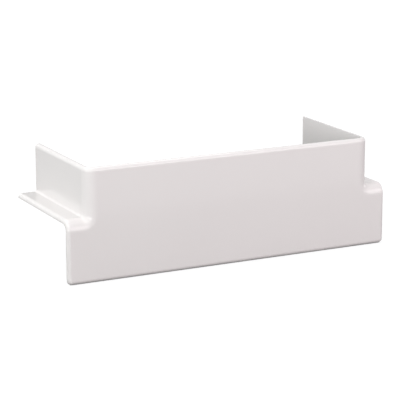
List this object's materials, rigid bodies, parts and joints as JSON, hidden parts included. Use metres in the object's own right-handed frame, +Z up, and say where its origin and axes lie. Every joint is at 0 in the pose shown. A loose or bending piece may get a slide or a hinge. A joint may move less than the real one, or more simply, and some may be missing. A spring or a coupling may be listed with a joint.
{
  "type": "trunking tee fitting",
  "caption": "One-piece moulded cover for a flat tee joint in wall trunking: T-shaped front plate, side walls for the branch and shelves over the run, with rounded rims.",
  "frame": {"origin": "on the wall that the cover is fixed to, on the branch's centre line, level with the cover's bottom edge", "axes": "+X along the main run, to the right seen from the front, +Y into the wall, +Z up along the branch"},
  "size_m": [0.1742, 0.063, 0.0556],
  "materials": {
    "moulding": "smooth glossy off-white moulding"
  },
  "bodies": {
    "root": {"tee_cover": "moulding"}
  },
  "joints": []
}
